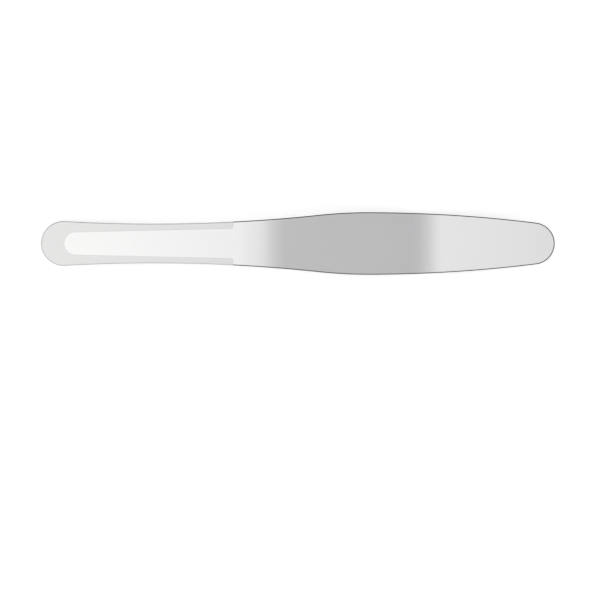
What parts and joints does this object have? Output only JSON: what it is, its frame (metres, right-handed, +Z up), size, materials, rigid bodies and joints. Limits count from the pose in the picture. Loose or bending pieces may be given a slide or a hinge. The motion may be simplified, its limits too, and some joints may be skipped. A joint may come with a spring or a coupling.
{
  "type": "tongue depressor",
  "caption": "Angled metal tongue depressor: waisted handle with a raised panel, stepped down by smooth bends to a broad blade with a round tip.",
  "frame": {"origin": "bottom centre of the box round the depressor, which lies as it comes to rest on a table", "axes": "+X along the instrument from the handle's end to the blade's tip, +Y across its width, +Z up from the table"},
  "size_m": [0.1663, 0.02, 0.014],
  "materials": {
    "satin_steel": "satin"
  },
  "bodies": {
    "root": {"tongue_depressor": "satin_steel"}
  },
  "joints": []
}
